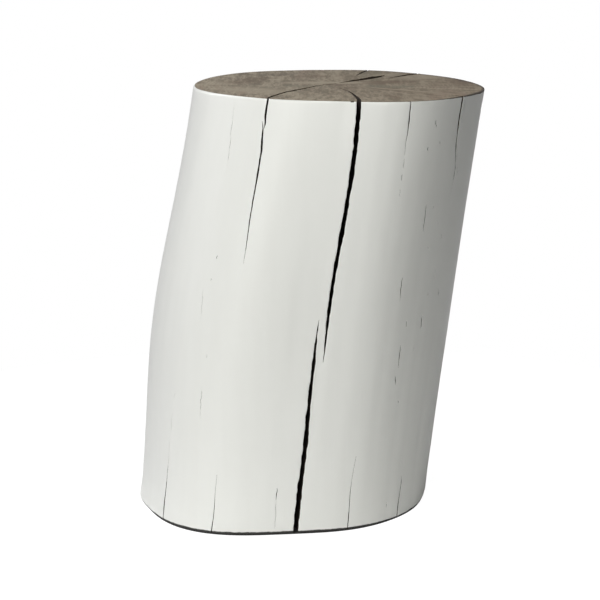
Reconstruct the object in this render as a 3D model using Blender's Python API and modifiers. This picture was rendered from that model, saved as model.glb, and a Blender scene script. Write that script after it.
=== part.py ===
"""Painted log stool: one leaning length of tree trunk, sawn flat at both ends and split by drying cracks.

Metres, +Z up, front towards -Y. The stool stands on Z = 0 with the middle of its bounding box on the Z axis.
Directions are degrees round +Z from +X, and heights along the trunk are shares of HEIGHT.
"""

import math

import bmesh
import bpy
from mathutils import Vector

HEIGHT = 0.455
BASE_RADIUS = 0.1581
TOP_RADIUS = 0.1524
LEAN = Vector((0.0572, -0.0063, 0.0))  # from the centre of the base to the centre of the top
RIM_EASE = 0.002  # sanded edge round both sawn ends
RIM_STEPS = 2  # facets across that edge
RIM_ANGLE = 50.0  # an edge sharper than this is eased
SMOOTH_ANGLE = 40.0  # facets that meet at less than this are shaded smooth

# The trunk isn't round: it has flattish faces with soft corners between them. Each lobe of a section is
# (waves round it, share of the radius, direction of one crest), and half way up the middle lobes add to it.
BASE_LOBES = (
    (2, 0.0488, 38.2),
    (3, 0.0171, 28.5),
    (4, 0.0238, -43.1),
    (5, 0.0171, 27.3),
    (6, 0.0078, -7.8),
    (7, 0.0031, -25.2),
    (8, 0.0039, -19.1),
)
TOP_LOBES = (
    (2, 0.0575, -40.2),
    (3, 0.0200, -42.7),
    (4, 0.0100, 39.4),
    (5, 0.0068, -1.7),
    (6, 0.0076, 5.6),
    (7, 0.0068, -15.6),
    (8, 0.0045, -17.8),
)
MIDDLE_LOBES = ((2, 0.0569, 57.2), (3, 0.0279, -30.0), (4, 0.0211, -6.7), (5, 0.0073, 7.0))

# A low swelling on the left, where a limb once grew, gives the soft knee in that side.
SWELL = 0.0137
SWELL_DIRECTION = 180.0
SWELL_MIDDLE = 0.457
SWELL_SPREAD = 0.327

SIDES = 96  # facets round the trunk
LEVELS = 18  # facets up the trunk

# Drying cracks that open at the side: (height, direction, width at the mouth, depth) down each one.
RIM_CRACKS = {
    "front_upper": (
        (1.02, -83.0, 0.0041, 0.104),
        (0.89, -82.1, 0.0042, 0.098),
        (0.66, -83.6, 0.0042, 0.078),
        (0.53, -84.0, 0.0031, 0.046),
        (0.40, -83.5, 0.0006, 0.008),
    ),
    "front_lower": (
        (0.505, -87.3, 0.0006, 0.008),
        (0.40, -87.2, 0.0028, 0.044),
        (0.26, -86.8, 0.0037, 0.076),
        (-0.02, -85.7, 0.0047, 0.104),
    ),
    "left_upper": (
        (1.02, -120.8, 0.0019, 0.112),
        (0.91, -119.9, 0.0018, 0.080),
        (0.80, -118.6, 0.0014, 0.046),
        (0.62, -118.7, 0.0006, 0.008),
    ),
    "right_upper": (
        (1.02, -64.5, 0.0012, 0.022),
        (0.88, -63.1, 0.0006, 0.006),
    ),
    "far_right_upper": (
        (1.02, -39.0, 0.0013, 0.026),
        (0.91, -37.5, 0.0012, 0.022),
        (0.75, -33.5, 0.0006, 0.006),
    ),
    "back_right_upper": (
        (1.02, 51.0, 0.0038, 0.051),
        (0.82, 51.8, 0.0034, 0.042),
        (0.56, 50.7, 0.0006, 0.008),
    ),
    "back_upper": (
        (1.02, 76.5, 0.0032, 0.064),
        (0.90, 77.3, 0.0026, 0.044),
        (0.74, 76.9, 0.0006, 0.008),
    ),
    "back_lower": (
        (0.44, 118.5, 0.0006, 0.008),
        (0.24, 117.4, 0.0026, 0.050),
        (-0.02, 116.4, 0.0034, 0.082),
    ),
    "left_lower": (
        (0.18, -140.7, 0.0006, 0.006),
        (-0.02, -141.7, 0.0014, 0.024),
    ),
    "front_left_lower": (
        (0.13, -117.4, 0.0006, 0.006),
        (-0.02, -117.0, 0.0012, 0.022),
    ),
    "front_right_lower": (
        (0.16, -64.7, 0.0006, 0.006),
        (-0.02, -64.2, 0.0011, 0.020),
    ),
    "right_lower": (
        (0.11, -38.0, 0.0006, 0.006),
        (-0.02, -38.3, 0.0012, 0.022),
    ),
}

# The heart crack opens in the top face only: (height, inner radius, outer radius, width at its middle).
HEART_DIRECTION = 61.6
HEART_CRACK = ((1.02, 0.029, 0.113, 0.0048), (0.90, 0.033, 0.103, 0.0040), (0.72, 0.049, 0.079, 0.0008))

TIP = 0.00015  # half the width of a crack at its closed end
OVERCUT = 0.012  # how far a crack's cutter stands out of the trunk

WHITE_PAINT = {"color": (0.80, 0.80, 0.775, 1.0), "roughness": 0.38}
END_GRAIN = {"color": (0.235, 0.195, 0.155, 1.0), "roughness": 0.8}


def clear_scene():
    for obj in list(bpy.data.objects):
        bpy.data.objects.remove(obj, do_unlink=True)


def waves(lobes, angle):
    """How far the lobes stand out at an angle, as a share of the radius."""
    return sum(share * math.cos(count * (angle - math.radians(crest))) for count, share, crest in lobes)


def swelling(height, angle):
    """How far the swelling stands out at a height and an angle."""
    facing = max(0.0, math.cos(angle - math.radians(SWELL_DIRECTION)))
    return SWELL * facing**2 * math.exp(-(((height - SWELL_MIDDLE) / SWELL_SPREAD) ** 2))


def radius_at(height, angle):
    share = min(max(height, 0.0), 1.0)
    low = BASE_RADIUS * (1.0 + waves(BASE_LOBES, angle))
    high = TOP_RADIUS * (1.0 + waves(TOP_LOBES, angle))
    middle = (BASE_RADIUS + TOP_RADIUS) / 2 * waves(MIDDLE_LOBES, angle)
    bulge = 4.0 * share * (1.0 - share)  # 0 at both ends and 1 half way up
    return low + (high - low) * share + middle * bulge + swelling(share, angle)


def axis_at(height):
    """The centre of the section at a height, with the base's centre at the origin."""
    return LEAN * height + Vector((0.0, 0.0, HEIGHT * height))


def surface_point(height, angle):
    reach = radius_at(height, angle)
    return axis_at(height) + Vector((reach * math.cos(angle), reach * math.sin(angle), 0.0))


def box_middle():
    """The middle of the trunk's box on the ground, seen from the centre of the base."""
    turns = [math.tau * i / SIDES for i in range(SIDES)]
    points = [surface_point(level / LEVELS, turn) for level in range(LEVELS + 1) for turn in turns]
    xs = [point.x for point in points]
    ys = [point.y for point in points]
    return Vector(((min(xs) + max(xs)) / 2, (min(ys) + max(ys)) / 2, 0.0))


def material(name, finish):
    made = bpy.data.materials.new(name)
    made.use_nodes = True
    shader = made.node_tree.nodes["Principled BSDF"]
    shader.inputs["Base Color"].default_value = finish["color"]
    shader.inputs["Roughness"].default_value = finish["roughness"]
    shader.inputs["Metallic"].default_value = 0.0
    return made


def mesh_object(name, mesh_maker, collection, materials):
    """An object whose mesh is what mesh_maker leaves in a new bmesh."""
    bm = bmesh.new()
    mesh_maker(bm)
    bmesh.ops.recalc_face_normals(bm, faces=bm.faces)
    mesh = bpy.data.meshes.new(name)
    bm.to_mesh(mesh)
    bm.free()
    for finish in materials:
        mesh.materials.append(finish)
    obj = bpy.data.objects.new(name, mesh)
    collection.objects.link(obj)
    return obj


def shape_trunk(bm, middle):
    """A unit cylinder cut into levels, each moved to its own section of the leaning trunk."""
    bmesh.ops.create_cone(bm, cap_ends=True, segments=SIDES, radius1=1.0, radius2=1.0, depth=1.0)
    uprights = [edge for edge in bm.edges if edge.verts[0].co.z != edge.verts[1].co.z]
    bmesh.ops.subdivide_edges(bm, edges=uprights, cuts=LEVELS - 1, use_grid_fill=True)
    for vert in bm.verts:
        height = vert.co.z + 0.5
        vert.co = surface_point(height, math.atan2(vert.co.y, vert.co.x)) - middle
    for face in bm.faces:
        is_sawn_end = len(face.verts) == SIDES
        face.material_index = 1 if is_sawn_end else 0


def make_trunk(collection, middle, materials):
    trunk = mesh_object("log", lambda bm: shape_trunk(bm, middle), collection, materials)
    ease = trunk.modifiers.new("eased_rims", "BEVEL")
    ease.width = RIM_EASE
    ease.segments = RIM_STEPS
    ease.limit_method = "ANGLE"
    ease.angle_limit = math.radians(RIM_ANGLE)
    trunk.data.shade_smooth()
    trunk.data.set_sharp_from_angle(angle=math.radians(SMOOTH_ANGLE))
    return trunk


def slit_ring(height, direction, profile, middle):
    """Points round one section of a slit: profile is (radius, half width) from its inner end outwards."""
    angle = math.radians(direction)
    outwards = Vector((math.cos(angle), math.sin(angle), 0.0))
    sideways = Vector((-outwards.y, outwards.x, 0.0))
    centre = axis_at(height) - middle
    one_side = [centre + outwards * radius - sideways * half for radius, half in profile]
    other_side = [centre + outwards * radius + sideways * half for radius, half in reversed(profile)]
    return one_side + other_side


def loft(bm, rings):
    """Skin a closed solid over rings of points that all have the same count."""
    rows = [[bm.verts.new(point) for point in ring] for ring in rings]
    for lower, upper in zip(rows, rows[1:]):
        for i in range(len(lower)):
            j = (i + 1) % len(lower)
            bm.faces.new((lower[i], lower[j], upper[j], upper[i]))
    bm.faces.new(rows[0])
    bm.faces.new(rows[-1])
    for face in bm.faces:
        face.material_index = 1


def rim_crack_rings(stations, middle):
    """A wedge at each station, from a closed tip inside the trunk to an open mouth at its side."""
    rings = []
    for height, direction, width, depth in stations:
        side = radius_at(height, math.radians(direction))
        flare = (width / 2 - TIP) / depth
        profile = ((side - depth, TIP), (side + OVERCUT, width / 2 + flare * OVERCUT))
        rings.append(slit_ring(height, direction, profile, middle))
    return rings


def heart_crack_rings(middle):
    """A slit that is closed at both ends and widest between them."""
    rings = []
    for height, inner, outer, width in HEART_CRACK:
        profile = ((inner, TIP), ((inner + outer) / 2, width / 2), (outer, TIP))
        rings.append(slit_ring(height, HEART_DIRECTION, profile, middle))
    return rings


def cut(trunk, name, rings, collection, materials):
    cutter = mesh_object(f"{name}_cutter", lambda bm: loft(bm, rings), collection, materials)
    cutter.hide_render = True
    cutter.display_type = "WIRE"
    crack = trunk.modifiers.new(name, "BOOLEAN")
    crack.operation = "DIFFERENCE"
    crack.solver = "EXACT"
    crack.object = cutter


def new_collection(name):
    made = bpy.data.collections.new(name)
    bpy.context.scene.collection.children.link(made)
    return made


def main():
    clear_scene()
    parts = new_collection("log_stool")
    cutters = new_collection("crack_cutters")
    materials = (material("white_paint", WHITE_PAINT), material("end_grain", END_GRAIN))
    middle = box_middle()
    trunk = make_trunk(parts, middle, materials)
    for name, stations in RIM_CRACKS.items():
        cut(trunk, name, rim_crack_rings(stations, middle), cutters, materials)
    cut(trunk, "heart", heart_crack_rings(middle), cutters, materials)


main()
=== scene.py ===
import math

import bmesh
import bpy
import numpy as np
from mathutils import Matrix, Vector, noise
from mathutils.kdtree import KDTree


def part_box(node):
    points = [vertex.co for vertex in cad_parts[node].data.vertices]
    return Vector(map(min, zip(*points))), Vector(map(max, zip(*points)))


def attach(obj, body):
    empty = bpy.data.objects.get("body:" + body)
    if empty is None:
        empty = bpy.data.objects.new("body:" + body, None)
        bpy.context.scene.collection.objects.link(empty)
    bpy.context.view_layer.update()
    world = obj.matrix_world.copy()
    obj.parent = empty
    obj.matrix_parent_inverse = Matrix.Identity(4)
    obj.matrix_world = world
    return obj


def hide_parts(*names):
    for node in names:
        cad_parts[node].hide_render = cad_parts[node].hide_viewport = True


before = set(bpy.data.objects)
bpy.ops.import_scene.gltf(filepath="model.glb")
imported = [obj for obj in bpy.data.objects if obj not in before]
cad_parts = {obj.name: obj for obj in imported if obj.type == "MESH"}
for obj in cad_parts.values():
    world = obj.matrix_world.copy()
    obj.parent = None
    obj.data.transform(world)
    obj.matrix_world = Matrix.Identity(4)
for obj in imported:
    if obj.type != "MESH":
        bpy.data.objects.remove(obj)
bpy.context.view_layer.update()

# Everything is in metres with the stool standing on z = 0, its front towards -y.
# Heights along the log are shares of its whole height, directions are degrees round +z from +x.
lowCorner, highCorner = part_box("log")
logHeight = highCorner.z - lowCorner.z

# the order of the log's three materials
paintSlot, endGrainSlot, splitWoodSlot = 0, 1, 2

log = {
    "baseRadius": 0.1581,
    "topRadius": 0.1524,
    "lean": (0.0572, -0.0063),  # from the centre of the base to the centre of the top
    # flattish faces with soft corners between them: (waves round the log, share of the radius, one crest)
    "baseLobes": (
        (2, 0.0488, 38.2),
        (3, 0.0171, 28.5),
        (4, 0.0238, -43.1),
        (5, 0.0171, 27.3),
        (6, 0.0078, -7.8),
        (7, 0.0031, -25.2),
        (8, 0.0039, -19.1),
    ),
    "topLobes": (
        (2, 0.0575, -40.2),
        (3, 0.0200, -42.7),
        (4, 0.0100, 39.4),
        (5, 0.0068, -1.7),
        (6, 0.0076, 5.6),
        (7, 0.0068, -15.6),
        (8, 0.0045, -17.8),
    ),
    "middleLobes": ((2, 0.0569, 57.2), (3, 0.0279, -30.0), (4, 0.0211, -6.7), (5, 0.0073, 7.0)),
    "swell": 0.0137,  # the knee in the left side, where a limb once grew
    "swellDirection": 180.0,
    "swellMiddle": 0.457,
    "swellSpread": 0.327,
    "toe": 0.0015,  # a slight corner at the foot of the left side
    "toeDirection": -170.0,
    "toeSpread": 10.0,
    "toeHeight": 0.030,
    "columns": 216,
    "rows": 90,
    "discRings": 24,
    "discReach": 0.92,  # share of the radius that they fill, before the rings at the rim
    "rimGaps": (0.0, 0.0012, 0.003, 0.006),  # extra rings just inside the edge of each sawn end
    "refineReaches": (0.0056, 0.0033, 0.0015),  # the skin is split finer three times towards a crack
    "softRim": 0.0028,  # rounding of the top's sawn edge on the left
    "crispRim": 0.0010,  # and on the right
    "softDirection": -145.0,  # where the rim is softest
    "softSharpness": 4,
    "rimWobble": ((7, 0.12, 1.0), (17, 0.08, 2.2)),  # (waves round it, share, phase)
    "footRim": 0.0009,  # rounding of the lower edge
    "rimSteps": 5,
    "ridges": 26,  # long shallow ridges left by the drawknife
    "ridgeWaves": (5, 64),  # fewest waves round the log, and one more than the most
    "ridgeHeight": 0.00010,
    "ridgeDrift": 5.0,  # how far a ridge turns on its way up
    "ridgeSwing": 1.6,  # and how far it sways
    "unevenness": 0.00016,  # depth of the broad soft dents
    "dents": ((14, 1.0), (41, 0.5)),  # (how close together, share)
    "lip": 0.00022,  # paint gathers into a low lip along a crack
    "lipWidth": 0.0013,
    "lipPeak": 0.75,  # in lip widths from the crack's edge
    "fullLip": 0.0010,  # a crack this wide on each side of its middle has a full lip
    "sharpAngle": 50,  # an edge sharper than this isn't shaded smooth
    "seed": 11,
}


def towards(angle, direction, sharpness):
    # 1 in one direction, fading to 0 in the opposite one
    return ((1 + np.cos(angle - math.radians(direction))) / 2) ** sharpness


def lobeWaves(lobes, angle):
    return sum(share * np.cos(count * (angle - math.radians(crest))) for count, share, crest in lobes)


def logRadius(height, angle):
    share = np.clip(height, 0, 1)
    low = log["baseRadius"] * (1 + lobeWaves(log["baseLobes"], angle))
    high = log["topRadius"] * (1 + lobeWaves(log["topLobes"], angle))
    middle = (log["baseRadius"] + log["topRadius"]) / 2 * lobeWaves(log["middleLobes"], angle)
    facing = np.maximum(0, np.cos(angle - math.radians(log["swellDirection"]))) ** 2
    swell = log["swell"] * facing * np.exp(-(((share - log["swellMiddle"]) / log["swellSpread"]) ** 2))
    turned = (angle - math.radians(log["toeDirection"]) + math.pi) % math.tau - math.pi
    fade = (turned / math.radians(log["toeSpread"])) ** 2 + (share / log["toeHeight"]) ** 2
    toe = log["toe"] * np.exp(-fade)
    return low + (high - low) * share + middle * 4 * share * (1 - share) + swell + toe


def findBaseCentre():
    # the base stands where it puts the middle of the whole log on the z axis
    turn, share = np.meshgrid(np.linspace(0, math.tau, 96, endpoint=False), np.linspace(0, 1, 19))
    reach = logRadius(share, turn)
    x = log["lean"][0] * share + reach * np.cos(turn)
    y = log["lean"][1] * share + reach * np.sin(turn)
    return -(x.min() + x.max()) / 2, -(y.min() + y.max()) / 2


baseCentre = findBaseCentre()


def logAxis(height):
    return baseCentre[0] + log["lean"][0] * height, baseCentre[1] + log["lean"][1] * height


def logPoint(height, angle, inset=0.0):
    x, y = logAxis(height)
    reach = logRadius(height, angle) - inset
    return np.stack([x + reach * np.cos(angle), y + reach * np.sin(angle), logHeight * height], -1)


def logPlace(points):
    # share of the height, direction and distance from the log's own axis
    height = points[:, 2] / logHeight
    x, y = logAxis(height)
    across, along = points[:, 0] - x, points[:, 1] - y
    return height, np.arctan2(along, across), np.hypot(across, along)


# Drying cracks that open in the side. Each station is (height, direction, width at the mouth), "depth" pairs
# a height with how far in the crack reaches, "plan" pairs a distance in from the mouth with a step sideways,
# and "taper" pairs a share of the depth with a share of the width at the mouth.
rimCracks = {
    "frontUpper": {
        "stations": (
            (1.02, -83.2, 0.0049),
            (0.97, -82.5, 0.0047),
            (0.93, -82.3, 0.0054),
            (0.9, -82.0, 0.0044),
            (0.84, -82.0, 0.0045),
            (0.745, -82.4, 0.0045),
            (0.64, -83.4, 0.0042),
            (0.58, -83.8, 0.0033),
            (0.525, -83.9, 0.0036),
            (0.5, -83.8, 0.0030),
            (0.47, -83.7, 0.0023),
            (0.44, -83.5, 0.0016),
            (0.405, -83.5, 0.0002),
        ),
        "depth": ((1.02, 0.1246), (0.89, 0.106), (0.66, 0.080), (0.50, 0.046), (0.40, 0.008)),
        "plan": (
            (0, 0),
            (0.005, 0.0012),
            (0.022, 0.0031),
            (0.062, 0.004),
            (0.087, 0.0032),
            (0.1246, -0.0035),
        ),
    },
    "frontLower": {
        "stations": (
            (0.505, -87.3, 0.0002),
            (0.485, -87.4, 0.0009),
            (0.455, -87.4, 0.0019),
            (0.4, -87.2, 0.0034),
            (0.34, -87.1, 0.0040),
            (0.26, -86.6, 0.0042),
            (0.22, -86.3, 0.0046),
            (0.15, -86.2, 0.0050),
            (0.1, -86.2, 0.0051),
            (-0.02, -85.5, 0.0054),
        ),
        "depth": ((0.505, 0.008), (0.40, 0.046), (0.26, 0.076), (-0.02, 0.104)),
        "plan": ((0, 0), (0.0299, -0.0018), (0.0699, -0.0002), (0.1039, 0.0026)),
    },
    # the left crack comes down in two strands, with a sliver of wood standing between their ends
    "leftUpper": {
        "stations": (
            (1.02, -120.8, 0.0020),
            (0.985, -120.6, 0.0021),
            (0.963, -120.4, 0.0020),
            (0.945, -119.8, 0.0016),
            (0.934, -119.9, 0.0002),
        ),
        "depth": ((1.02, 0.162), (0.99, 0.156), (0.96, 0.100), (0.934, 0.030)),
        "plan": (
            (0, 0),
            (0.0094, -0.0048),
            (0.0314, -0.0097),
            (0.0485, -0.0128),
            (0.0635, -0.0145),
            (0.088, -0.0146),
            (0.1046, -0.0150),
            (0.129, -0.0152),
            (0.1375, -0.0141),
            (0.1453, -0.0112),
            (0.162, -0.0084),
        ),
        "taper": (
            (0, 1),
            (0.06, 1.3),
            (0.36, 1.5),
            (0.48, 2.5),
            (0.57, 1.7),
            (0.68, 1.7),
            (0.75, 0.9),
            (0.79, 0.35),
            (0.86, 0.35),
            (0.91, 1.4),
            (0.96, 1.4),
            (1, 0.1),
        ),
    },
    "leftMiddle": {
        "stations": (
            (0.951, -121.4, 0.0002),
            (0.934, -120.3, 0.0015),
            (0.914, -120.0, 0.0020),
            (0.886, -119.2, 0.0019),
            (0.865, -119.2, 0.0022),
            (0.819, -118.9, 0.0018),
            (0.785, -119.0, 0.0012),
            (0.73, -118.9, 0.0011),
            (0.68, -118.5, 0.0009),
            (0.632, -118.4, 0.0002),
        ),
        "depth": ((0.951, 0.020), (0.93, 0.060), (0.90, 0.080), (0.80, 0.046), (0.632, 0.006)),
        "plan": ((0, 0), (0.0094, -0.0048), (0.0485, -0.0128), (0.088, -0.0146)),
    },
    "rightUpper": {
        "stations": (
            (1.02, -64.5, 0.0010),
            (0.95, -63.6, 0.0010),
            (0.923, -63.4, 0.0006),
            (0.91, -63.6, 0.0004),
            (0.879, -63.1, 0.0002),
        ),
        "depth": ((1.02, 0.022), (0.879, 0.004)),
        "plan": ((0, 0), (0.0221, 0.0007)),
    },
    "farRightUpper": {
        "stations": (
            (1.02, -39.2, 0.0028),
            (0.95, -38.3, 0.0026),
            (0.89, -36.7, 0.0020),
            (0.866, -35.5, 0.0016),
            (0.827, -33.4, 0.0010),
            (0.788, -33.3, 0.0005),
            (0.737, -32.0, 0.0002),
        ),
        "depth": ((1.02, 0.026), (0.89, 0.018), (0.737, 0.003)),
        "plan": ((0, 0), (0.0259, -0.0008)),
    },
    "backRightUpper": {
        "stations": (
            (1.02, 50.8, 0.0022),
            (0.98, 51.0, 0.0024),
            (0.90, 51.9, 0.0028),
            (0.76, 51.4, 0.0020),
            (0.56, 50.7, 0.0002),
        ),
        "depth": ((1.02, 0.060), (0.82, 0.042), (0.56, 0.006)),
        "plan": ((0, 0), (0.0197, 0.0004), (0.0467, -0.0020), (0.060, -0.0030)),
        "taper": ((0, 1), (0.035, 1.3), (0.12, 3.0), (0.4, 2.8), (0.7, 2.0), (0.9, 1.0), (1, 0.1)),
    },
    # nearly closed at the bark and widest a little way in
    "backUpper": {
        "stations": (
            (1.02, 76.0, 0.0013),
            (0.98, 76.3, 0.0014),
            (0.94, 76.8, 0.0018),
            (0.84, 77.0, 0.0014),
            (0.74, 76.6, 0.0002),
        ),
        "depth": ((1.02, 0.064), (0.90, 0.047), (0.74, 0.006)),
        "plan": ((0, 0), (0.0255, 0.0014), (0.0639, 0.0010)),
        "taper": ((0, 1), (0.035, 1.3), (0.12, 2.6), (0.4, 2.6), (0.7, 1.6), (1, 0.1)),
    },
    "backLower": {
        "stations": (
            (0.46, 118.7, 0.0002),
            (0.34, 117.8, 0.0017),
            (0.2, 117.4, 0.0027),
            (-0.02, 116.4, 0.0034),
        ),
        "depth": ((0.46, 0.006), (0.24, 0.050), (-0.02, 0.082)),
        "plan": ((0, 0), (0.0416, -0.0018), (0.0835, 0.0017)),
    },
    "leftLower": {
        "stations": (
            (0.196, -140.7, 0.0002),
            (0.15, -140.4, 0.0007),
            (0.122, -140.7, 0.0009),
            (0.084, -140.8, 0.0013),
            (0.046, -141.4, 0.0018),
            (-0.02, -141.7, 0.0022),
        ),
        "depth": ((0.196, 0.003), (-0.02, 0.024)),
        "plan": ((0, 0), (0.024, 0.0012)),
    },
    "frontLeftLower": {
        "stations": (
            (0.142, -117.4, 0.0002),
            (0.109, -117.3, 0.0003),
            (0.078, -117.1, 0.0005),
            (0.05, -116.9, 0.0008),
            (-0.02, -117.0, 0.0011),
        ),
        "depth": ((0.142, 0.003), (-0.02, 0.022)),
        "plan": ((0, 0), (0.022, -0.0011)),
    },
    "frontRightLower": {
        "stations": (
            (0.177, -64.6, 0.0002),
            (0.12, -65.2, 0.0003),
            (0.093, -65.2, 0.0005),
            (0.06, -64.8, 0.0008),
            (0.027, -64.5, 0.0009),
            (-0.02, -64.2, 0.0012),
        ),
        "depth": ((0.177, 0.003), (-0.02, 0.020)),
        "plan": ((0, 0), (0.0201, 0.001)),
    },
    "rightLower": {
        "stations": (
            (0.108, -38.0, 0.0005),
            (0.088, -37.7, 0.0011),
            (0.033, -38.3, 0.0016),
            (-0.02, -38.3, 0.0020),
        ),
        "depth": ((0.108, 0.003), (-0.02, 0.022)),
        "plan": ((0, 0), (0.0218, 0.0005)),
    },
}

# Cracks that open in the top only, as (x, y, width) from the centre of the top, and how far down they reach.
heartCracks = {
    "heart": {
        "line": (
            (0.0012, 0.0200, 0.0006),
            (0.0042, 0.0242, 0.0034),
            (0.0080, 0.0290, 0.0054),
            (0.0190, 0.0430, 0.0080),
            (0.0316, 0.0590, 0.0110),
            (0.0421, 0.0750, 0.0105),
            (0.0500, 0.0880, 0.0045),
            (0.0531, 0.0945, 0.0006),
        ),
        "depth": 0.120,
    },
}
heartFinish = {
    "steps": 24,  # points along it
    "sinks": (-0.06, 0.0, 0.03, 0.08, 0.16, 0.28, 0.42, 0.58, 0.75, 1.0),  # shares of the depth
    "footLength": 0.15,  # length at the bottom as a share of that at the top
    "roughness": 0.25,
}

crackFinish = {
    "step": 0.0026,  # spacing of the sections down a crack
    "overcut": 0.010,  # how far its cutter stands out of the log
    "tip": 0.00012,  # half the width at the closed end
    "wander": 0.00012,  # how far the mouth strays from its line
    "torn": 0.00030,  # how ragged its two edges are
    "tornDepth": 0.1,  # share of the depth that the ragged edge fades over
    "wallRoughness": 0.00030,
    "flare": 0.6,  # how fast its cutter widens outside the log
    "wallStops": (0.0, 0.012, 0.035, 0.08, 0.15, 0.25, 0.38, 0.53, 0.62, 0.74, 0.88, 0.93, 0.97, 1.0),
    "taper": ((0, 1), (0.25, 0.79), (0.5, 0.57), (0.75, 0.33), (0.9, 0.16), (1, 0)),
}


def strayed(x, y, z, size):
    # a small step from smooth noise, the same on every run
    return size * noise.noise(Vector((x, y, z)))


def rimCrackAt(name, height):
    crack = rimCracks[name]
    stations = sorted(crack["stations"])
    heights = [station[0] for station in stations]
    direction = np.interp(height, heights, [station[1] for station in stations])
    width = np.interp(height, heights, [station[2] for station in stations])
    depths = sorted(crack["depth"])
    depth = np.interp(height, [pair[0] for pair in depths], [pair[1] for pair in depths])
    code = float(list(rimCracks).index(name)) * 7.3
    stray = strayed(code, height * 26, 0.5, 1.6) + strayed(code, height * 90, 4.5, 0.8)
    angle = math.radians(direction) + stray * crackFinish["wander"] / log["topRadius"]
    width = width * (1 + strayed(code, height * 60, 9.5, 0.35))
    return angle, width, depth


def tornEdge(code, side, height, width):
    # splinters stand out of the mouth here and there
    size = min(crackFinish["torn"], width * 0.2)
    fine = strayed(code + side * 2.3, height * 170, 3.5, size)
    broad = strayed(code + side * 5.9, height * 60, 8.5, size * 0.6)
    return fine + broad


def rimCrackHeights(name):
    heights = [station[0] for station in rimCracks[name]["stations"]]
    low, high = min(heights), max(heights)
    count = max(4, round((high - low) * logHeight / crackFinish["step"]))
    return np.linspace(low, high, count + 1)


def rimCrackRing(name, height):
    # one level section of a crack: in along one wall, round the tip and out along the other
    angle, width, depth = rimCrackAt(name, height)
    outwards = np.array((math.cos(angle), math.sin(angle), 0))
    sideways = np.array((-outwards[1], outwards[0], 0))
    mouth = logPoint(np.array(height), np.array(angle))
    plan = rimCracks[name]["plan"]
    taper = list(zip(*rimCracks[name].get("taper", crackFinish["taper"])))
    code = float(list(rimCracks).index(name)) * 5.1
    walls = {-1: [], 1: []}
    overcut = crackFinish["overcut"]
    for side, points in walls.items():
        torn = tornEdge(code, side, height, width)
        flare = width * 0.5 * (1 + overcut / depth * crackFinish["flare"]) + torn
        points.append(mouth + outwards * overcut + sideways * side * flare)
        for stop in crackFinish["wallStops"]:
            run = stop * depth
            bend = np.interp(run, [pair[0] for pair in plan], [pair[1] for pair in plan])
            half = crackFinish["tip"] + (width * 0.5 - crackFinish["tip"]) * np.interp(stop, *taper)
            rough = strayed(code + side * 3.7, height * 50, run * 160, 1)
            rough += strayed(code, height * 7, run * 500 + side, 0.5)
            rough *= min(crackFinish["wallRoughness"], half * 0.35) * (0 < stop < 1)
            half += torn * max(0.0, 1 - stop / crackFinish["tornDepth"]) + rough
            half = max(crackFinish["tip"], half)
            points.append(mouth - outwards * run + sideways * (bend + side * half))
    return walls[-1] + walls[1][::-1]


def heartCrackRings(name):
    crack = heartCracks[name]
    line = np.array(crack["line"])
    run = np.concatenate([[0], np.cumsum(np.hypot(*np.diff(line[:, :2], axis=0).T))])
    fine = np.linspace(0, run[-1], heartFinish["steps"])
    x, y, width = (np.interp(fine, run, line[:, i]) for i in range(3))
    along = np.stack([np.gradient(x), np.gradient(y)], -1)
    along /= np.linalg.norm(along, axis=1)[:, None]
    rings = []
    for sink in heartFinish["sinks"]:
        drop = sink * crack["depth"]
        share = 1 - drop / logHeight
        centreX, centreY = logAxis(share)
        rest = 1 - max(0.0, sink)
        shrink = math.sqrt(rest) * (1 - heartFinish["footLength"]) + heartFinish["footLength"]
        middleX, middleY = x.mean(), y.mean()
        sides = {-1: [], 1: []}
        for side, points in sides.items():
            for i in range(len(fine)):
                rough = strayed(fine[i] * 260, sink * 9, side * 3.3, heartFinish["roughness"])
                half = max(crackFinish["tip"], width[i] / 2 * rest**0.7 * (1 + rough))
                px = centreX + middleX + (x[i] - middleX) * shrink - along[i, 1] * side * half
                py = centreY + middleY + (y[i] - middleY) * shrink + along[i, 0] * side * half
                points.append((px, py, logHeight * share))
        rings.append(sides[-1] + sides[1][::-1])
    return rings


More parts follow.
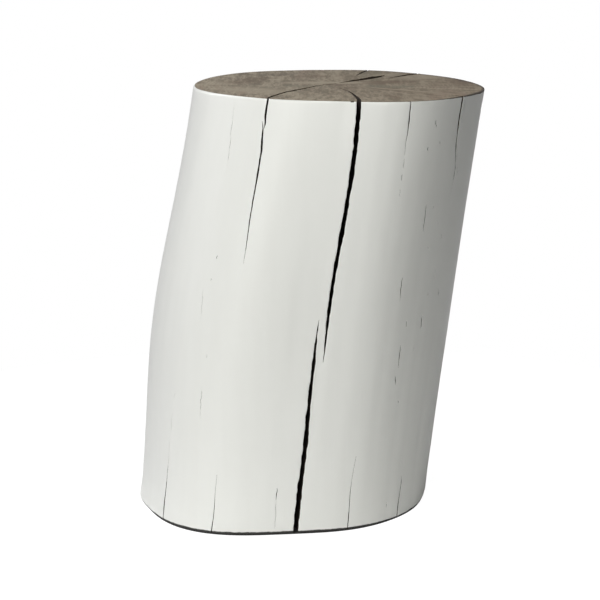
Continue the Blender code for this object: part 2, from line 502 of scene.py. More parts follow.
# Fine checks in the paint: (lowest, highest, direction at the bottom, direction at the top, width)
hairChecks = (
    (0.830, 0.990, -133.1, -137.2, 0.0004),
    (0.493, 0.565, -131.8, -133.1, 0.0004),
    (0.409, 0.422, -126.7, -127.1, 0.0004),
    (0.266, 0.347, -126.3, -127.3, 0.0004),
    (0.302, 0.314, -139.6, -139.9, 0.0005),
    (0.216, 0.265, -140.1, -140.5, 0.0006),
    (0.848, 0.872, -62.8, -63.1, 0.0004),
    (0.820, 0.836, -62.7, -62.9, 0.0004),
    (0.784, 0.802, -62.4, -62.6, 0.0003),
    (0.935, 0.955, -51.4, -52.2, 0.0007),
    (0.692, 0.759, -47.4, -48.6, 0.0011),
    (0.756, 0.765, -40.4, -40.7, 0.0007),
    (0.664, 0.681, -34.0, -35.0, 0.0009),
    (0.536, 0.592, -54.3, -54.7, 0.0009),
    (0.468, 0.486, -48.0, -48.6, 0.0006),
    (0.525, 0.543, -28.3, -29.4, 0.0008),
    (0.455, 0.490, -38.5, -39.0, 0.0013),
    (0.373, 0.430, -49.2, -49.9, 0.0010),
    (0.334, 0.356, -49.5, -50.3, 0.0010),
    (0.082, 0.112, -94.9, -95.2, 0.0007),
    (0.013, 0.082, -94.0, -94.9, 0.0003),
    (0.032, 0.051, -45.6, -46.0, 0.0007),
    (0.636, 0.645, -129.7, -129.8, 0.0006),
    (0.586, 0.594, -130.4, -130.5, 0.0006),
    (0.896, 0.905, -47.6, -47.7, 0.0008),
    (0.884, 0.893, -53.5, -53.6, 0.0008),
    (0.930, 0.985, -6.5, -5.5, 0.0006),
    (0.560, 0.660, 13.8, 12.3, 0.0006),
    (0.110, 0.190, 3.0, 4.5, 0.0006),
    (0.720, 0.800, 29.9, 30.8, 0.0006),
    (0.300, 0.400, 41.2, 39.1, 0.0006),
    (0.040, 0.150, 66.4, 67.3, 0.0008),
    (0.420, 0.520, 84.4, 83.3, 0.0006),
    (0.780, 0.960, 104.5, 106.0, 0.0008),
    (0.560, 0.600, 132.5, 133.1, 0.0006),
    (0.060, 0.160, 148.2, 147.3, 0.0008),
    (0.820, 0.930, 154.5, 153.6, 0.0006),
    (0.330, 0.420, 171.2, 170.2, 0.0006),
    (0.900, 0.985, -36.2, -37.0, 0.0007),
    (0.842, 0.892, -33.6, -34.6, 0.0006),
    (0.905, 0.960, -39.4, -40.2, 0.0005),
    (0.806, 0.836, -31.0, -31.4, 0.0006),
    (0.700, 0.716, -38.6, -38.8, 0.0006),
    (0.560, 0.600, -34.2, -34.8, 0.0006),
    (0.530, 0.545, -37.2, -37.4, 0.0006),
    (0.404, 0.424, -41.0, -41.4, 0.0006),
    (0.286, 0.294, -46.2, -46.3, 0.0007),
    (0.744, 0.752, -44.0, -44.1, 0.0007),
    (0.648, 0.655, -42.4, -42.5, 0.0007),
    (0.128, 0.150, -39.3, -39.6, 0.0006),
)

hairFinish = {
    "step": 0.004,  # spacing of the sections along a check
    "tip": 0.00004,  # half the width at either end
    "wander": 0.35,  # degrees it strays from its line
    "overcut": 0.002,
    "endDepth": 0.0006,
    "depth": 0.0024,  # more than that at its middle
}


def hairCheckRings(check, code):
    low, high, lowDirection, highDirection, width = check
    count = max(4, round((high - low) * logHeight / hairFinish["step"]))
    rings = []
    for share in np.linspace(0, 1, count + 1):
        height = low + (high - low) * share
        direction = lowDirection + (highDirection - lowDirection) * share
        angle = math.radians(direction + strayed(code, share * 9, 1.5, hairFinish["wander"]))
        outwards = np.array((math.cos(angle), math.sin(angle), 0))
        sideways = np.array((-outwards[1], outwards[0], 0))
        mouth = logPoint(np.array(height), np.array(angle))
        full = math.sin(math.pi * min(max(share, 0.02), 0.98)) ** 0.5
        half = max(hairFinish["tip"], width / 2 * full * (1 + strayed(code, share * 14, 7.5, 0.5)))
        depth = hairFinish["endDepth"] + hairFinish["depth"] * full
        profile = ((hairFinish["overcut"], half), (0, half), (-depth, half * 0.25))
        one = [mouth + outwards * out - sideways * step for out, step in profile]
        two = [mouth + outwards * out + sideways * step for out, step in reversed(profile)]
        rings.append(one + two)
    return rings


def loft(bm, rings):
    rows = [[bm.verts.new(point) for point in ring] for ring in rings]
    faces = []
    for lower, upper in zip(rows, rows[1:]):
        for i in range(len(lower)):
            j = (i + 1) % len(lower)
            faces.append(bm.faces.new((lower[i], lower[j], upper[j], upper[i])))
    faces.append(bm.faces.new(rows[0]))
    faces.append(bm.faces.new(rows[-1]))
    for face in faces:
        face.material_index = splitWoodSlot


def rimEase(angle):
    left = towards(angle, log["softDirection"], log["softSharpness"])
    wobble = 1 + sum(share * np.cos(count * angle + phase) for count, share, phase in log["rimWobble"])
    return (log["crispRim"] + (log["softRim"] - log["crispRim"]) * left) * wobble


# Small bites out of the rim: (direction, width, height, depth)
rimChips = (
    (-85.3, 0.0042, 0.0010, 0.0016),
    (-12.0, 0.0060, 0.0014, 0.0016),
    (28.0, 0.0050, 0.0012, 0.0014),
    (96.0, 0.0070, 0.0014, 0.0018),
    (143.0, 0.0050, 0.0012, 0.0014),
    (-158.0, 0.0045, 0.0010, 0.0012),
)


def rimChip(bm, chip, code):
    direction, width, tall, deep = chip
    angle = math.radians(direction)
    made = bmesh.ops.create_icosphere(bm, subdivisions=3, radius=1.0)
    outwards = np.array((math.cos(angle), math.sin(angle), 0))
    sideways = np.array((-outwards[1], outwards[0], 0))
    edge = logPoint(np.array(1.0), np.array(angle), rimEase(angle) * 0.4)
    for vert in made["verts"]:
        grown = 1 + noise.noise(vert.co * 1.7 + Vector((code, 0, 0))) * 0.45
        step = sideways * vert.co.x * width / 2 + outwards * vert.co.y * deep
        step = step + np.array((0, 0, vert.co.z * tall))
        vert.co = Vector(edge + step * grown)
    for face in bm.faces:
        face.material_index = splitWoodSlot


def buildSkin():
    # rows run from the middle of the base, up the side and in to the middle of the top
    turn = np.linspace(-math.pi, math.pi, log["columns"], endpoint=False)
    eases = {0: np.full_like(turn, log["footRim"]), 1: rimEase(turn)}
    shares = [share for share in np.linspace(0, 1, log["discRings"])[1:-1] if share < log["discReach"]]
    rows = []

    def discRow(height, share, gap):
        radius = logRadius(height, turn)
        reach = np.maximum((radius - eases[height]) * share - gap, 0)
        rows.append(logPoint(np.full_like(turn, height), turn, radius - reach))

    def easedRow(height, arc):
        inset = eases[height] * (1 - math.cos(arc))
        lift = eases[height] * (1 - math.sin(arc)) / logHeight
        rows.append(logPoint(lift if height == 0 else 1 - lift, turn, inset))

    for share in shares:
        discRow(0, share, 0)
    for gap in reversed(log["rimGaps"]):
        discRow(0, 1, gap)
    arcs = [math.pi / 2 * step / log["rimSteps"] for step in range(log["rimSteps"])]
    for arc in reversed(arcs):
        easedRow(0, arc)
    low, high = eases[0] / logHeight, 1 - eases[1] / logHeight
    for share in np.linspace(0, 1, log["rows"])[1:-1]:
        rows.append(logPoint(low + (high - low) * share, turn))
    for arc in arcs:
        easedRow(1, arc)
    for gap in log["rimGaps"]:
        discRow(1, 1, gap)
    for share in reversed(shares):
        discRow(1, share, 0)
    baseX, baseY = logAxis(0.0)
    topX, topY = logAxis(1.0)
    points = np.concatenate([np.concatenate(rows), [(baseX, baseY, 0), (topX, topY, logHeight)]])
    across = log["columns"]
    faces = []
    for row in range(len(rows) - 1):
        for i in range(across):
            j = (i + 1) % across
            faces.append((row * across + i, row * across + j, (row + 1) * across + j, (row + 1) * across + i))
    last = (len(rows) - 1) * across
    for i in range(across):
        j = (i + 1) % across
        faces.append((j, i, len(points) - 2))
        faces.append((last + i, last + j, len(points) - 1))
    mesh = bpy.data.meshes.new("log")
    mesh.from_pydata(points.tolist(), [], faces)
    discRows = len(shares) + len(log["rimGaps"]) - 1
    slots = np.full(len(faces), paintSlot, np.int32)
    slots[: discRows * across] = endGrainSlot
    slots[(len(rows) - 1 - discRows) * across :] = endGrainSlot
    mesh.polygons.foreach_set("material_index", slots)
    return mesh


def crackLines():
    # points along every crack's mouth and across the sawn ends, each with half the width there
    places = []
    for name in rimCracks:
        heights = rimCrackHeights(name)
        for height in heights:
            if 0 <= height <= 1:
                angle, width, depth = rimCrackAt(name, height)
                places.append((logPoint(np.array(height), np.array(angle)), width / 2))
        for end in (0.0, 1.0):
            if heights.min() < end < heights.max():
                ring = rimCrackRing(name, end)
                half = len(ring) // 2
                for one, two in zip(ring[1:half], ring[::-1][1:half]):
                    places.append(((one + two) / 2, np.linalg.norm(one - two) / 2))
    for crack in heartCracks.values():
        line = np.array(crack["line"])
        topX, topY = logAxis(1.0)
        for share in np.linspace(0, 1, heartFinish["steps"]):
            x, y, width = (np.interp(share * (len(line) - 1), range(len(line)), line[:, i]) for i in range(3))
            places.append((np.array((topX + x, topY + y, logHeight)), width / 2))
    # places less than 20 mm apart are joined up in steps of at most 1 mm
    filled = []
    for (one, halfOne), (two, halfTwo) in zip(places, places[1:]):
        gap = np.linalg.norm(two - one)
        steps = max(1, math.ceil(gap / 0.001)) if gap < 0.02 else 1
        for step in range(steps):
            share = step / steps
            filled.append((one + (two - one) * share, halfOne + (halfTwo - halfOne) * share))
    filled.append(places[-1])
    return filled


def refineNearCracks(mesh, tree, halves):
    bm = bmesh.new()
    bm.from_mesh(mesh)
    for reach in log["refineReaches"]:
        near = set()
        for vert in bm.verts:
            place, index, distance = tree.find(vert.co)
            if distance - halves[index] < reach:
                near.add(vert)
        edges = [edge for edge in bm.edges if edge.verts[0] in near and edge.verts[1] in near]
        bmesh.ops.subdivide_edges(bm, edges=edges, cuts=1, use_grid_fill=True)
    bm.to_mesh(mesh)
    bm.free()


def relief(points, rng):
    # long shallow ridges that drift a little on their way up
    height, angle, reach = logPlace(points)
    total = np.zeros(len(points))
    for i in range(log["ridges"]):
        count = rng.integers(*log["ridgeWaves"])
        size = log["ridgeHeight"] * (12 / (count + 6)) ** 0.8
        drift = rng.uniform(-log["ridgeDrift"], log["ridgeDrift"])
        phase = rng.uniform(0, math.tau)
        swing = rng.uniform(0, log["ridgeSwing"])
        swing = swing * np.sin(height * rng.uniform(2, 6) + rng.uniform(0, math.tau))
        total += size * np.cos(count * angle + phase + drift * height + swing)
    return total


def displaceSkin(mesh, tree, halves):
    rng = np.random.default_rng(log["seed"])
    count = len(mesh.vertices)
    points = np.empty(count * 3)
    mesh.vertices.foreach_get("co", points)
    points = points.reshape(-1, 3)
    normals = np.empty(count * 3)
    mesh.vertex_normals.foreach_get("vector", normals)
    normals = normals.reshape(-1, 3)
    upright = 1 - np.abs(normals[:, 2])
    lips = np.zeros(count)
    dents = np.zeros(count)
    for i, point in enumerate(points):
        place, index, distance = tree.find(point)
        half = halves[index]
        out = max(0.0, distance - half) / log["lipWidth"]
        full = min(1.0, half / log["fullLip"])
        # a rounded crest with a dip at the very edge
        crest = math.exp(-((out - log["lipPeak"]) ** 2) / 0.35)
        lips[i] = full * (crest - 0.9 * math.exp(-((out / 0.3) ** 2)))
        dents[i] = sum(share * noise.noise(Vector(point) * close) for close, share in log["dents"])
    # the base stays flat on the ground
    rise = relief(points, rng) * upright + lips * log["lip"] + dents * log["unevenness"]
    onGround = (normals[:, 2] < -0.7) & (points[:, 2] < 0.001)
    rise[onGround] = 0
    points += normals * rise[:, None]
    points[:, 2] = np.clip(points[:, 2], 0, None)
    mesh.vertices.foreach_set("co", points.ravel())
    mesh.update()


def cutAway(piece, name, bm, materials):
    bmesh.ops.recalc_face_normals(bm, faces=bm.faces)
    mesh = bpy.data.meshes.new(name)
    bm.to_mesh(mesh)
    bm.free()
    for material in materials:
        mesh.materials.append(material)
    cutter = bpy.data.objects.new(name, mesh)
    bpy.context.scene.collection.objects.link(cutter)
    cut = piece.modifiers.new(name, "BOOLEAN")
    cut.operation = "DIFFERENCE"
    cut.solver = "EXACT"
    cut.object = cutter
    graph = bpy.context.evaluated_depsgraph_get()
    result = bpy.data.meshes.new_from_object(piece.evaluated_get(graph))
    piece.modifiers.clear()
    piece.data = result
    bpy.data.objects.remove(cutter)


# Where the paint stops short of the top, the dark band of painted contact shadow along the foot, and the dark
# weathered ring on the top.
bareEdge = {
    "topLeft": 0.0002,  # bare height under the top
    "topRight": 0.0020,
    # height of the dark band of painted contact shadow along the foot, by direction
    "footShade": (
        (-180, 0.0003),
        (-155, 0.0006),
        (-147, 0.0016),
        (-138, 0.0027),
        (-128, 0.0031),
        (-88, 0.0031),
        (-70, 0.0029),
        (-52, 0.0025),
        (-35, 0.0020),
        (-10, 0.0012),
        (20, 0.0006),
        (150, 0.0004),
    ),
    # width of the dark ring on the top by direction
    "ring": (
        (-180, 0.0006),
        (-110, 0.0006),
        (-60, 0.0014),
        (-30, 0.0030),
        (0, 0.0042),
        (30, 0.0055),
        (60, 0.0055),
        (78, 0.0030),
        (100, 0.0010),
        (140, 0.0006),
    ),
    "rightDirection": -15.0,
    "rightSharpness": 2,
    "farRightSharpness": 16,
    "fullRing": 0.004,  # a ring this wide would be fully weathered
}


def storePlaces(mesh):
    # how far each point lies under the painted side, under the top, and across the sawn ends
    count = len(mesh.vertices)
    points = np.empty(count * 3)
    mesh.vertices.foreach_get("co", points)
    points = points.reshape(-1, 3)
    height, angle, reach = logPlace(points)
    edge = logRadius(height, angle)
    right = towards(angle, bareEdge["rightDirection"], bareEdge["rightSharpness"])
    farRight = towards(angle, bareEdge["rightDirection"], bareEdge["farRightSharpness"])
    bareTop = bareEdge["topLeft"] + (bareEdge["topRight"] - bareEdge["topLeft"]) * farRight
    # height of the band of painted contact shadow along the foot, by direction
    footShadeBand = np.interp(np.degrees(angle), *zip(*bareEdge["footShade"]), period=360)
    ring = np.interp(np.degrees(angle), *zip(*bareEdge["ring"]), period=360)
    values = {
        "inset": edge - reach,
        "age": reach / edge,
        "rimGap": (edge - reach) / ring,
        "bareTop": (1 - height) * logHeight / bareTop,
        "footShadeBand": height * logHeight / footShadeBand,
        "right": right,
        "weathered": np.clip(ring / bareEdge["fullRing"], 0.2, 0.9),
    }
    for name, value in values.items():
        attribute = mesh.attributes.new(name, "FLOAT", "POINT")
        attribute.data.foreach_set("value", value.astype(np.float32))


class Wire:
    # a shader socket that takes part in Python expressions
    def __init__(self, tree, socket):
        self.tree = tree
        self.socket = socket

    def node(self, kind, settings, sockets, output=0):
        made = self.tree.nodes.new(kind)
        for name, value in settings.items():
            setattr(made, name, value)
        for name, value in sockets.items():
            if isinstance(value, Wire):
                self.tree.links.new(value.socket, made.inputs[name])
            else:
                made.inputs[name].default_value = value
        return Wire(self.tree, made.outputs[output])

    def math(self, operation, one, two=0.0):
        return self.node("ShaderNodeMath", {"operation": operation}, {0: one, 1: two})

    def __add__(self, other):
        return self.math("ADD", self, other)

    def __radd__(self, other):
        return self.math("ADD", other, self)

    def __sub__(self, other):
        return self.math("SUBTRACT", self, other)

    def __rsub__(self, other):
        return self.math("SUBTRACT", other, self)

    def __mul__(self, other):
        return self.math("MULTIPLY", self, other)

    def __rmul__(self, other):
        return self.math("MULTIPLY", other, self)

    def __pow__(self, other):
        return self.math("POWER", self, other)

    def __rpow__(self, other):
        return self.math("POWER", other, self)

    def stretched(self, scale):
        return self.node("ShaderNodeVectorMath", {"operation": "MULTIPLY"}, {0: self, 1: scale})

    def noise(self, scale, detail, rough, bend=0.0):
        sockets = {"Vector": self, "Scale": scale, "Detail": detail, "Roughness": rough, "Distortion": bend}
        return self.node("ShaderNodeTexNoise", {}, sockets)

    def step(self, low, high):
        # 0 under low, 1 over high, with a soft change between them
        settings = {"interpolation_type": "SMOOTHSTEP"}
        return self.node("ShaderNodeMapRange", settings, {"Value": self, "From Min": low, "From Max": high})

    def bump(self, strength, distance, under=None):
        # a shading normal from this height, over another one where it is given
        sockets = {"Strength": strength, "Distance": distance, "Height": self}
        if under is not None:
            sockets["Normal"] = under
        return self.node("ShaderNodeBump", {}, sockets)

    def tint(self, one, two):
        # one where self is 0, two where it is 1
        return self.node("ShaderNodeMix", {"data_type": "RGBA"}, {0: self, 6: one, 7: two}, 2)


def newMaterial(name):
    made = bpy.data.materials.new(name)
    made.use_nodes = True
    tree = made.node_tree
    shader = tree.nodes["Principled BSDF"]
    start = Wire(tree, tree.nodes.new("ShaderNodeTexCoord").outputs["Object"])
    return made, tree, shader, start


def attributeWire(start, name):
    return start.node("ShaderNodeAttribute", {"attribute_name": name}, {}, "Fac")


def plug(tree, shader, sockets):
    for name, value in sockets.items():
        if isinstance(value, Wire):
            tree.links.new(value.socket, shader.inputs[name])
        else:
            shader.inputs[name].default_value = value


paint = {
    "colour": (0.800, 0.806, 0.788, 1),
    "shadeColour": (0.765, 0.769, 0.750, 1),
    # painted contact shadow: a dark neutral band along the foot, where the log meets the floor
    "footShade": (0.030, 0.029, 0.028, 1),
    "bareLeft": (0.26, 0.225, 0.18, 1),  # wood that the paint leaves bare under the top
    "bareRight": (0.040, 0.030, 0.022, 1),
    "streakWeight": 0.8,
    "patchWeight": 0.7,
    "roughness": 0.36,
    "roughnessSwing": 0.10,
    "bareRoughness": 0.4,  # more than that in the painted contact shadow along the foot and where the wood is bare
    "grainBump": 0.10,  # upright grain under the paint
    "grainDepth": 0.0006,
    "peelBump": 0.05,  # orange peel in it
    "peelDepth": 0.0003,
}


def makePaint():
    made, tree, shader, place = newMaterial("whitePaint")
    streaks = place.stretched((1, 1, 0.07)).noise(70, 4, 0.6)
    patches = place.noise(9, 3, 0.55)
    shade = (streaks - 0.5) * paint["streakWeight"] + (patches - 0.5) * paint["patchWeight"] + 0.4
    colour = shade.step(0.0, 1.0).tint(paint["colour"], paint["shadeColour"])
    ragged = place.noise(160, 3, 0.6) - 0.5
    # the dark band of painted contact shadow along the foot, ragged at its upper edge
    footShade = 1 - (attributeWire(place, "footShadeBand") + ragged * 0.5).step(0.85, 1.1)
    bare = 1 - (attributeWire(place, "bareTop") + ragged * 0.6).step(0.8, 1.1)
    right = attributeWire(place, "right").step(0.35, 0.8)
    colour = bare.tint(footShade.tint(colour, paint["footShade"]), right.tint(paint["bareLeft"], paint["bareRight"]))
    peel = place.noise(900, 2, 0.5)
    grain = place.stretched((1, 1, 0.04)).noise(260, 3, 0.6)
    bump = grain.bump(paint["grainBump"], paint["grainDepth"])
    bump = peel.bump(paint["peelBump"], paint["peelDepth"], bump)
    rough = paint["roughness"] + (patches - 0.5) * paint["roughnessSwing"]
    rough = rough + (footShade + bare) * paint["bareRoughness"]
    plug(tree, shader, {"Base Color": colour, "Roughness": rough, "Normal": bump, "IOR": 1.5})
    return made


endGrain = {
    "pale": (0.380, 0.325, 0.248, 1),
    "shade": (0.160, 0.130, 0.093, 1),
    "warm": (0.170, 0.124, 0.076, 1),
    "warmShare": 0.36,  # how far the right half leans to the darker, warmer tone
    "brown": (0.120, 0.078, 0.048, 1),
    "green": (0.165, 0.152, 0.108, 1),
    "red": (0.230, 0.150, 0.112, 1),
    "dark": (0.050, 0.034, 0.023, 1),
    "rings": 40,
    "ringDepth": 0.16,
    "patchWeight": 1.7,
    "mottleWeight": 2.2,
    "rayWeight": 1.5,
    "rayWeightRight": 1.1,  # more than that on the right
    "hueShare": 0.40,  # how strong the red and green patches are
    "rayDepth": 0.28,
    "pith": (0.0031, -0.0010),
    "roughness": 0.72,
    "bump": 0.25,
    "bumpDepth": 0.0008,
    # old stains: (x, y from the middle, half length, half width, turn in degrees, tone, strength)
    "stains": (
        (-0.108, 0.028, 0.028, 0.022, 0, "brown", 0.45),
        (-0.080, 0.062, 0.030, 0.016, 20, "brown", 0.35),
        (0.052, 0.026, 0.038, 0.022, 10, "brown", 0.75),
        (0.012, -0.032, 0.020, 0.016, 0, "brown", 0.40),
        (0.050, -0.036, 0.024, 0.016, 0, "brown", 0.40),
        (0.060, -0.016, 0.030, 0.018, 0, "green", 0.70),
        (0.132, 0.030, 0.026, 0.040, 0, "brown", 0.55),
        (0.070, -0.058, 0.034, 0.016, -30, "brown", 0.40),
        (-0.026, 0.084, 0.026, 0.020, 0, "brown", 0.50),
        (-0.057, 0.104, 0.030, 0.016, 30, "dark", 0.30),
        (-0.040, -0.010, 0.030, 0.014, 0, "green", 0.50),
        (-0.012, 0.022, 0.052, 0.014, 0, "pale", 0.85),
        (0.054, 0.097, 0.022, 0.014, 40, "pale", 0.50),
        (-0.092, -0.050, 0.060, 0.030, -35, "pale", 0.65),
        (-0.130, 0.014, 0.018, 0.022, 0, "pale", 0.60),
        (0.092, 0.078, 0.040, 0.030, 40, "pale", 0.45),
        (0.074, -0.052, 0.062, 0.0045, -35, "pale", 0.75),
        (0.100, -0.030, 0.052, 0.0035, -20, "pale", 0.50),
        (0.058, -0.066, 0.050, 0.0022, -50, "pale", 0.60),
        (0.112, -0.012, 0.040, 0.0022, -7, "pale", 0.50),
        (0.090, -0.082, 0.044, 0.0025, -43, "brown", 0.50),
        (0.056, -0.106, 0.030, 0.006, -62, "brown", 0.60),
        (0.137, 0.038, 0.007, 0.007, 0, "dark", 0.75),
        (0.003, 0.000, 0.012, 0.010, 0, "brown", 0.50),
    ),
}


def makeEndGrain():
    made, tree, shader, place = newMaterial("endGrain")
    topX, topY = logAxis(1.0)
    pithX, pithY = topX + endGrain["pith"][0], topY + endGrain["pith"][1]
    fromPith = place.node("ShaderNodeVectorMath", {"operation": "SUBTRACT"}, {0: place, 1: (pithX, pithY, 0)})
    x = place.node("ShaderNodeSeparateXYZ", {}, {0: fromPith}, "X")
    y = place.node("ShaderNodeSeparateXYZ", {}, {0: fromPith}, "Y")
    turn = place.math("ARCTAN2", y, x)
    age = attributeWire(place, "age")
    gap = attributeWire(place, "rimGap")
    right = attributeWire(place, "right")
    wobble = place.noise(22, 3, 0.5) - 0.5
    rings = place.math("SINE", (age + wobble * 0.05) * (endGrain["rings"] * math.tau)) * 0.5 + 0.5
    # rays change fast round the pith and slowly outwards
    sockets = {0: place.math("COSINE", turn), 1: place.math("SINE", turn), 2: age * 0.5}
    around = place.node("ShaderNodeCombineXYZ", {}, sockets)
    rays = around.noise(13, 4, 0.7) - 0.5
    fineRays = around.noise(75, 3, 0.65)
    # saw marks run from front to back
    sawn = place.stretched((1, 0.16, 1))
    mottle = sawn.noise(230, 4, 0.7) - 0.5
    patches = sawn.noise(60, 4, 0.7) - 0.5
    rayWeight = endGrain["rayWeight"] + right * endGrain["rayWeightRight"]
    tone = 0.5 + patches * endGrain["patchWeight"] + mottle * endGrain["mottleWeight"] + rays * rayWeight
    colour = tone.step(0.05, 0.95).tint(endGrain["shade"], endGrain["pale"])
    # the top grows darker and warmer towards the right
    colour = (x.step(-0.10, 0.10) * endGrain["warmShare"]).tint(colour, endGrain["warm"])
    hue = sawn.noise(30, 2, 0.5, 0.6)
    colour = (hue.step(0.56, 0.72) * endGrain["hueShare"]).tint(colour, endGrain["red"])
    colour = ((1 - hue).step(0.56, 0.72) * endGrain["hueShare"]).tint(colour, endGrain["green"])
    for stainX, stainY, long, wide, degrees, tint, strength in endGrain["stains"]:
        spot = place.node(
            "ShaderNodeMapping",
            {"vector_type": "TEXTURE"},
            {
                "Vector": place,
                "Location": (topX + stainX, topY + stainY, 0),
                "Rotation": (0, 0, math.radians(degrees)),
                "Scale": (long, wide, 100),
            },
        )
        reach = spot.node("ShaderNodeVectorMath", {"operation": "LENGTH"}, {0: spot}, "Value")
        cover = 1 - (reach + patches * 1.4 + mottle * 0.8).step(0.25, 1.15)
        colour = (cover * strength).tint(colour, endGrain[tint])
    lines = (rings**3) * endGrain["ringDepth"] + fineRays.step(0.52, 0.85) * endGrain["rayDepth"]
    colour = lines.tint(colour, endGrain["dark"])
    ragged = place.noise(120, 3, 0.6) - 0.5
    burnt = 1 - (gap + ragged * 0.5).step(0.6, 1.1)
    colour = (burnt * attributeWire(place, "weathered")).tint(colour, endGrain["dark"])
    relief = rings * 0.4 + fineRays * 0.4 + mottle * 0.4
    bump = relief.bump(endGrain["bump"], endGrain["bumpDepth"])
    rough = endGrain["roughness"] + mottle * 0.15
    plug(tree, shader, {"Base Color": colour, "Roughness": rough, "Normal": bump, "IOR": 1.45})
    return made


splitWood = {
    # both tones are darker than the split wood itself: dark weathered wood with painted shade of the crack's
    # depth in it
    "brown": (0.050, 0.030, 0.018, 1),
    "dark": (0.012, 0.008, 0.006, 1),
    "paintDepth": 0.0002,  # how far the paint runs into a crack
    "roughness": 0.85,
    "paintedGloss": 0.45,  # how much smoother it is under paint
    "bump": 0.5,
    "bumpDepth": 0.0008,
}


def makeSplitWood():
    made, tree, shader, place = newMaterial("splitWood")
    fibres = place.stretched((1, 1, 0.06)).noise(420, 4, 0.6)
    patches = place.noise(30, 3, 0.6)
    # dark crack walls: their own weathered wood, darkened further by painted shade of the crack's depth
    woodAndDepthShade = (fibres * 0.7 + patches * 0.3).step(0.35, 0.65).tint(splitWood["dark"], splitWood["brown"])
    inset = attributeWire(place, "inset")
    ragged = place.stretched((1, 1, 0.5)).noise(420, 3, 0.6)
    fade = splitWood["paintDepth"] * 0.4, splitWood["paintDepth"] * 1.6
    painted = 1 - (inset + (ragged - 0.5) * 0.0006).step(*fade)
    colour = painted.tint(woodAndDepthShade, paint["colour"])
    bump = fibres.bump(splitWood["bump"], splitWood["bumpDepth"])
    rough = splitWood["roughness"] - painted * splitWood["paintedGloss"]
    plug(tree, shader, {"Base Color": colour, "Roughness": rough, "Normal": bump, "IOR": 1.45})
    return made


def makeLog():
    materials = (makePaint(), makeEndGrain(), makeSplitWood())
    places = crackLines()
    tree = KDTree(len(places))
    for i, (place, half) in enumerate(places):
        tree.insert(place, i)
    tree.balance()
    halves = [half for place, half in places]
    mesh = buildSkin()
    refineNearCracks(mesh, tree, halves)
    displaceSkin(mesh, tree, halves)
    for material in materials:
        mesh.materials.append(material)
    piece = bpy.data.objects.new("painted_log", mesh)
    bpy.context.scene.collection.objects.link(piece)
    print(f"skin: {len(mesh.polygons)} faces")
    bm = bmesh.new()
    overlapping = "leftMiddle"
    for name in rimCracks:
        if name != overlapping:
            loft(bm, [rimCrackRing(name, height) for height in rimCrackHeights(name)])
    for name in heartCracks:
        loft(bm, heartCrackRings(name))
    cutAway(piece, "cracks", bm, materials)
    print(f"cracks cut: {len(piece.data.polygons)} faces")
    bm = bmesh.new()
    loft(bm, [rimCrackRing(overlapping, height) for height in rimCrackHeights(overlapping)])
    for i, check in enumerate(hairChecks):
        loft(bm, hairCheckRings(check, i * 3.7))
    for i, chip in enumerate(rimChips):
        rimChip(bm, chip, i * 2.9)
    cutAway(piece, "hairChecks", bm, materials)
    print(f"hair checks cut: {len(piece.data.polygons)} faces")
    mesh = piece.data
    storePlaces(mesh)
    mesh.shade_smooth()
    mesh.set_sharp_from_angle(angle=math.radians(log["sharpAngle"]))
    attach(piece, "root")
    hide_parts("log")


studio = {
    "floorRadius": 0.70,
    "floorColour": (0.90, 0.90, 0.90, 1),
    "shadeColour": (0.06, 0.06, 0.06, 1),
    "floorGlow": 1.2,  # the lit table under the stool, as a camera sees it
    "glowShare": 0.8,
    "shadeReach": 0.0018,  # how far the shade under the stool shows in front of its foot
    "shadeSharpness": 3,
    "floorSides": 180,
    "backdrop": 1.0,
    "surround": 0.0,  # light that reaches the stool from all round
    "sheen": 0.55,  # how bright the room is in a reflection
}


def floorMaterial(name, colour, glowShare):
    made, tree, shader, place = newMaterial(name)
    plug(tree, shader, {"Base Color": colour, "Roughness": 0.8})
    glow = place.node("ShaderNodeEmission", {}, {"Strength": studio["floorGlow"]})
    seen = place.node("ShaderNodeLightPath", {}, {}, "Is Camera Ray") * glowShare
    mixed = place.node("ShaderNodeMixShader", {}, {0: seen, 1: Wire(tree, shader.outputs[0]), 2: glow})
    tree.links.new(mixed.socket, tree.nodes["Material Output"].inputs["Surface"])
    return made


def makeFloor():
    # a lit disc with a dark patch where the stool stands, so that its cracks stay dark down to the floor
    turn = np.linspace(-math.pi, math.pi, studio["floorSides"], endpoint=False)
    reach = studio["shadeReach"] * np.maximum(0, -np.sin(turn)) ** studio["shadeSharpness"]
    patch = logPoint(np.zeros_like(turn), turn, -reach)
    rim = studio["floorRadius"] * np.stack([np.cos(turn), np.sin(turn), np.zeros_like(turn)], -1)
    count = len(turn)
    faces = [(i, (i + 1) % count, count + (i + 1) % count, count + i) for i in range(count)]
    mesh = bpy.data.meshes.new("floor")
    mesh.from_pydata(np.concatenate([patch, rim]).tolist(), [], faces + [tuple(range(count))])
    mesh.materials.append(floorMaterial("litFloor", studio["floorColour"], studio["glowShare"]))
    mesh.materials.append(floorMaterial("shadedFloor", studio["shadeColour"], 0.0))
    patchFace = mesh.polygons[count]
    patchFace.material_index = 1
    floor = bpy.data.objects.new("floor", mesh)
    bpy.context.scene.collection.objects.link(floor)


def makeWorld():
    # a camera sees a white backdrop, a reflection sees a bright room and all else gets the surround
    world = bpy.data.worlds.new("studio")
    bpy.context.scene.world = world
    world.use_nodes = True
    tree = world.node_tree
    background = tree.nodes["Background"]
    background.inputs["Color"].default_value = (1, 1, 1, 1)
    rays = tree.nodes.new("ShaderNodeLightPath")
    camera = Wire(tree, rays.outputs["Is Camera Ray"])
    glossy = Wire(tree, rays.outputs["Is Glossy Ray"])
    surround = studio["surround"]
    strength = camera * (studio["backdrop"] - surround) + glossy * (studio["sheen"] - surround) + surround
    tree.links.new(strength.socket, background.inputs["Strength"])


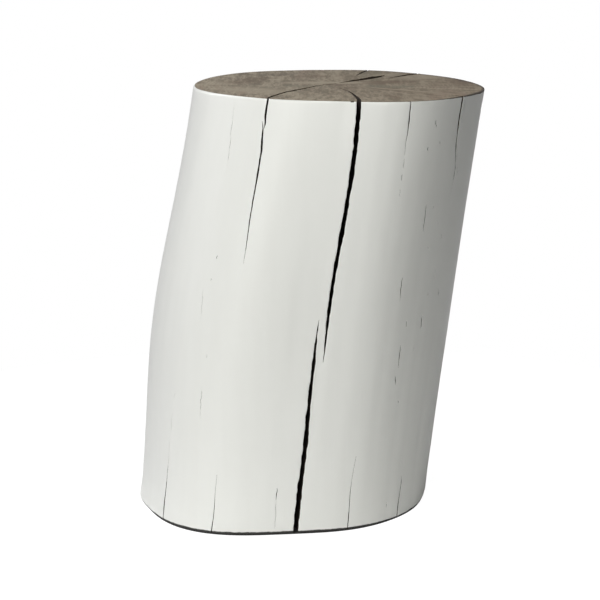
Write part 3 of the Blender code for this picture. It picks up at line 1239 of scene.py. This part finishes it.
# Softboxes: (azimuth round the stool with 0 in front and -90 on the left, height, distance, width, tall,
# watts, tint)
warm = (1.0, 1.0, 0.955)
cool = (0.975, 0.975, 1.0)
softboxes = {
    "highLeft": (-30, 2.6, 1.5, 0.9, 0.9, 20.7, warm),
    "backLeft": (-120, 1.35, 1.2, 0.4, 0.4, 7.3, cool),
    "frontNear": (-15, 1.35, 1.2, 0.4, 0.4, 5.3, warm),
    "frontRight": (7, 0.9, 2.2, 0.25, 1.0, 10.2, warm),
    "frontLeft": (-30, 0.9, 2.2, 0.6, 1.4, 9.0, warm),
    "left": (-45, 0.9, 2.2, 0.6, 1.4, 4.8, cool),
    "farLeft": (-95, 0.9, 2.2, 1.0, 1.4, 4.6, cool),
    "backRight": (135, 0.9, 2.2, 0.6, 1.4, 2.2, warm),
    "lowRight": (95, 0.12, 1.2, 0.5, 0.2, 0.22, warm),
    "behind": (172, 0.30, 2.2, 0.6, 0.4, 7.0, cool),
}
aimHeight = 0.23


def makeLights():
    for name, (azimuth, height, distance, width, tall, watts, tint) in softboxes.items():
        data = bpy.data.lights.new(name, "AREA")
        data.shape = "RECTANGLE"
        data.size = width
        data.size_y = tall
        data.energy = watts
        data.color = tint
        light = bpy.data.objects.new(name, data)
        bpy.context.scene.collection.objects.link(light)
        angle = math.radians(azimuth - 90)
        light.location = (distance * math.cos(angle), distance * math.sin(angle), height)
        aim = Vector((0, 0, aimHeight)) - light.location
        light.rotation_euler = aim.to_track_quat("-Z", "Y").to_euler()


cameraView = {
    "location": (-0.0088, -2.4474, 0.7338),
    "tilt": 11.897,  # degrees below level
    "lens": 137.11,
}


def makeCamera():
    data = bpy.data.cameras.new("camera")
    data.sensor_width = 36
    data.lens = cameraView["lens"]
    camera = bpy.data.objects.new("camera", data)
    bpy.context.scene.collection.objects.link(camera)
    camera.location = cameraView["location"]
    camera.rotation_euler = (math.radians(90 - cameraView["tilt"]), 0, 0)
    bpy.context.scene.camera = camera


makeCamera()
makeWorld()
makeFloor()
makeLights()
print("studio ready")
makeLog()
print("log ready")
bpy.context.scene.view_settings.view_transform = "Standard"
